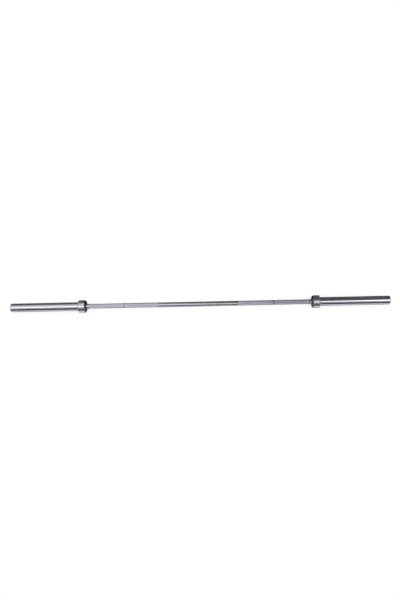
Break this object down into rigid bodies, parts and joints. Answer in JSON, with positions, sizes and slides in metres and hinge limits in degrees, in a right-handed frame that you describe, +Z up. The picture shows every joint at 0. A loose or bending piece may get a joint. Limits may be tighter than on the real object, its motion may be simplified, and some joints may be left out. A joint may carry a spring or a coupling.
{
  "type": "olympic barbell",
  "caption": "Long straight steel weightlifting bar with knurled grips, grip marks and a revolving, collared sleeve at each end that weight plates slide on.",
  "frame": {"origin": "middle of the shaft, on the bar's axis", "axes": "+X along the bar towards the right sleeve, +Z up, +Y away from the picture's camera"},
  "size_m": [2.2, 0.073, 0.073],
  "materials": {
    "hard_chrome": "hard chrome over a diamond knurl, smooth and bright in the plain middle and at the grip marks",
    "satin_chrome": "chrome over fine lathe marks, satin along the sleeve with light scuffs from plates",
    "polished_chrome": "chrome over a turned ring with bright chamfers",
    "black_rubber": "matt moulded rubber",
    "bronze": "turned sintered bronze, oiled",
    "bearing_steel": "drawn and ground bearing steel",
    "cage_steel": "pressed strip steel",
    "spring_steel": "phosphated spring steel, dark grey",
    "machined_aluminium": "turned aluminium with a fine concentric face"
  },
  "bodies": {
    "shaft": {"shaft": "hard_chrome", "left_bronze_thrust_washer": "bronze", "left_steel_thrust_washer": "bearing_steel", "left_shaft_circlip": "spring_steel", "right_bronze_thrust_washer": "bronze", "right_steel_thrust_washer": "bearing_steel", "right_shaft_circlip": "spring_steel"},
    "left_sleeve_assembly": {"left_sleeve": "satin_chrome", "left_collar_ring": "polished_chrome", "left_dust_seal": "black_rubber", "left_flanged_bush": "bronze", "left_inner_needle_cup": "bearing_steel", "left_outer_needle_cup": "bearing_steel", "left_end_cap": "machined_aluminium", "left_cap_circlip": "spring_steel"},
    "left_inner_cage": {"left_inner_needle_cage": "cage_steel", "left_inner_needle_rollers": "bearing_steel"},
    "left_outer_cage": {"left_outer_needle_cage": "cage_steel", "left_outer_needle_rollers": "bearing_steel"},
    "right_sleeve_assembly": {"right_sleeve": "satin_chrome", "right_collar_ring": "polished_chrome", "right_dust_seal": "black_rubber", "right_flanged_bush": "bronze", "right_inner_needle_cup": "bearing_steel", "right_outer_needle_cup": "bearing_steel", "right_end_cap": "machined_aluminium", "right_cap_circlip": "spring_steel"},
    "right_inner_cage": {"right_inner_needle_cage": "cage_steel", "right_inner_needle_rollers": "bearing_steel"},
    "right_outer_cage": {"right_outer_needle_cage": "cage_steel", "right_outer_needle_rollers": "bearing_steel"}
  },
  "joints": [
    {"name": "left_sleeve_spin", "type": "hinge", "parent": "shaft", "child": "left_sleeve_assembly", "pos_m": [-0.8775, 0, 0], "axis": [1, 0, 0], "continuous": true},
    {"name": "left_inner_cage_spin", "type": "hinge", "parent": "shaft", "child": "left_inner_cage", "pos_m": [-0.698, 0, 0], "axis": [1, 0, 0], "continuous": true},
    {"name": "left_outer_cage_spin", "type": "hinge", "parent": "shaft", "child": "left_outer_cage", "pos_m": [-1.0638, 0, 0], "axis": [1, 0, 0], "continuous": true},
    {"name": "right_sleeve_spin", "type": "hinge", "parent": "shaft", "child": "right_sleeve_assembly", "pos_m": [0.8775, 0, 0], "axis": [1, 0, 0], "continuous": true},
    {"name": "right_inner_cage_spin", "type": "hinge", "parent": "shaft", "child": "right_inner_cage", "pos_m": [0.698, 0, 0], "axis": [1, 0, 0], "continuous": true},
    {"name": "right_outer_cage_spin", "type": "hinge", "parent": "shaft", "child": "right_outer_cage", "pos_m": [1.0638, 0, 0], "axis": [1, 0, 0], "continuous": true}
  ],
  "couplings": [
    {"joint": "left_inner_cage_spin", "follows": "left_sleeve_spin", "ratio": 0.5461},
    {"joint": "left_outer_cage_spin", "follows": "left_sleeve_spin", "ratio": 0.5461},
    {"joint": "right_inner_cage_spin", "follows": "right_sleeve_spin", "ratio": 0.5461},
    {"joint": "right_outer_cage_spin", "follows": "right_sleeve_spin", "ratio": 0.5461}
  ]
}
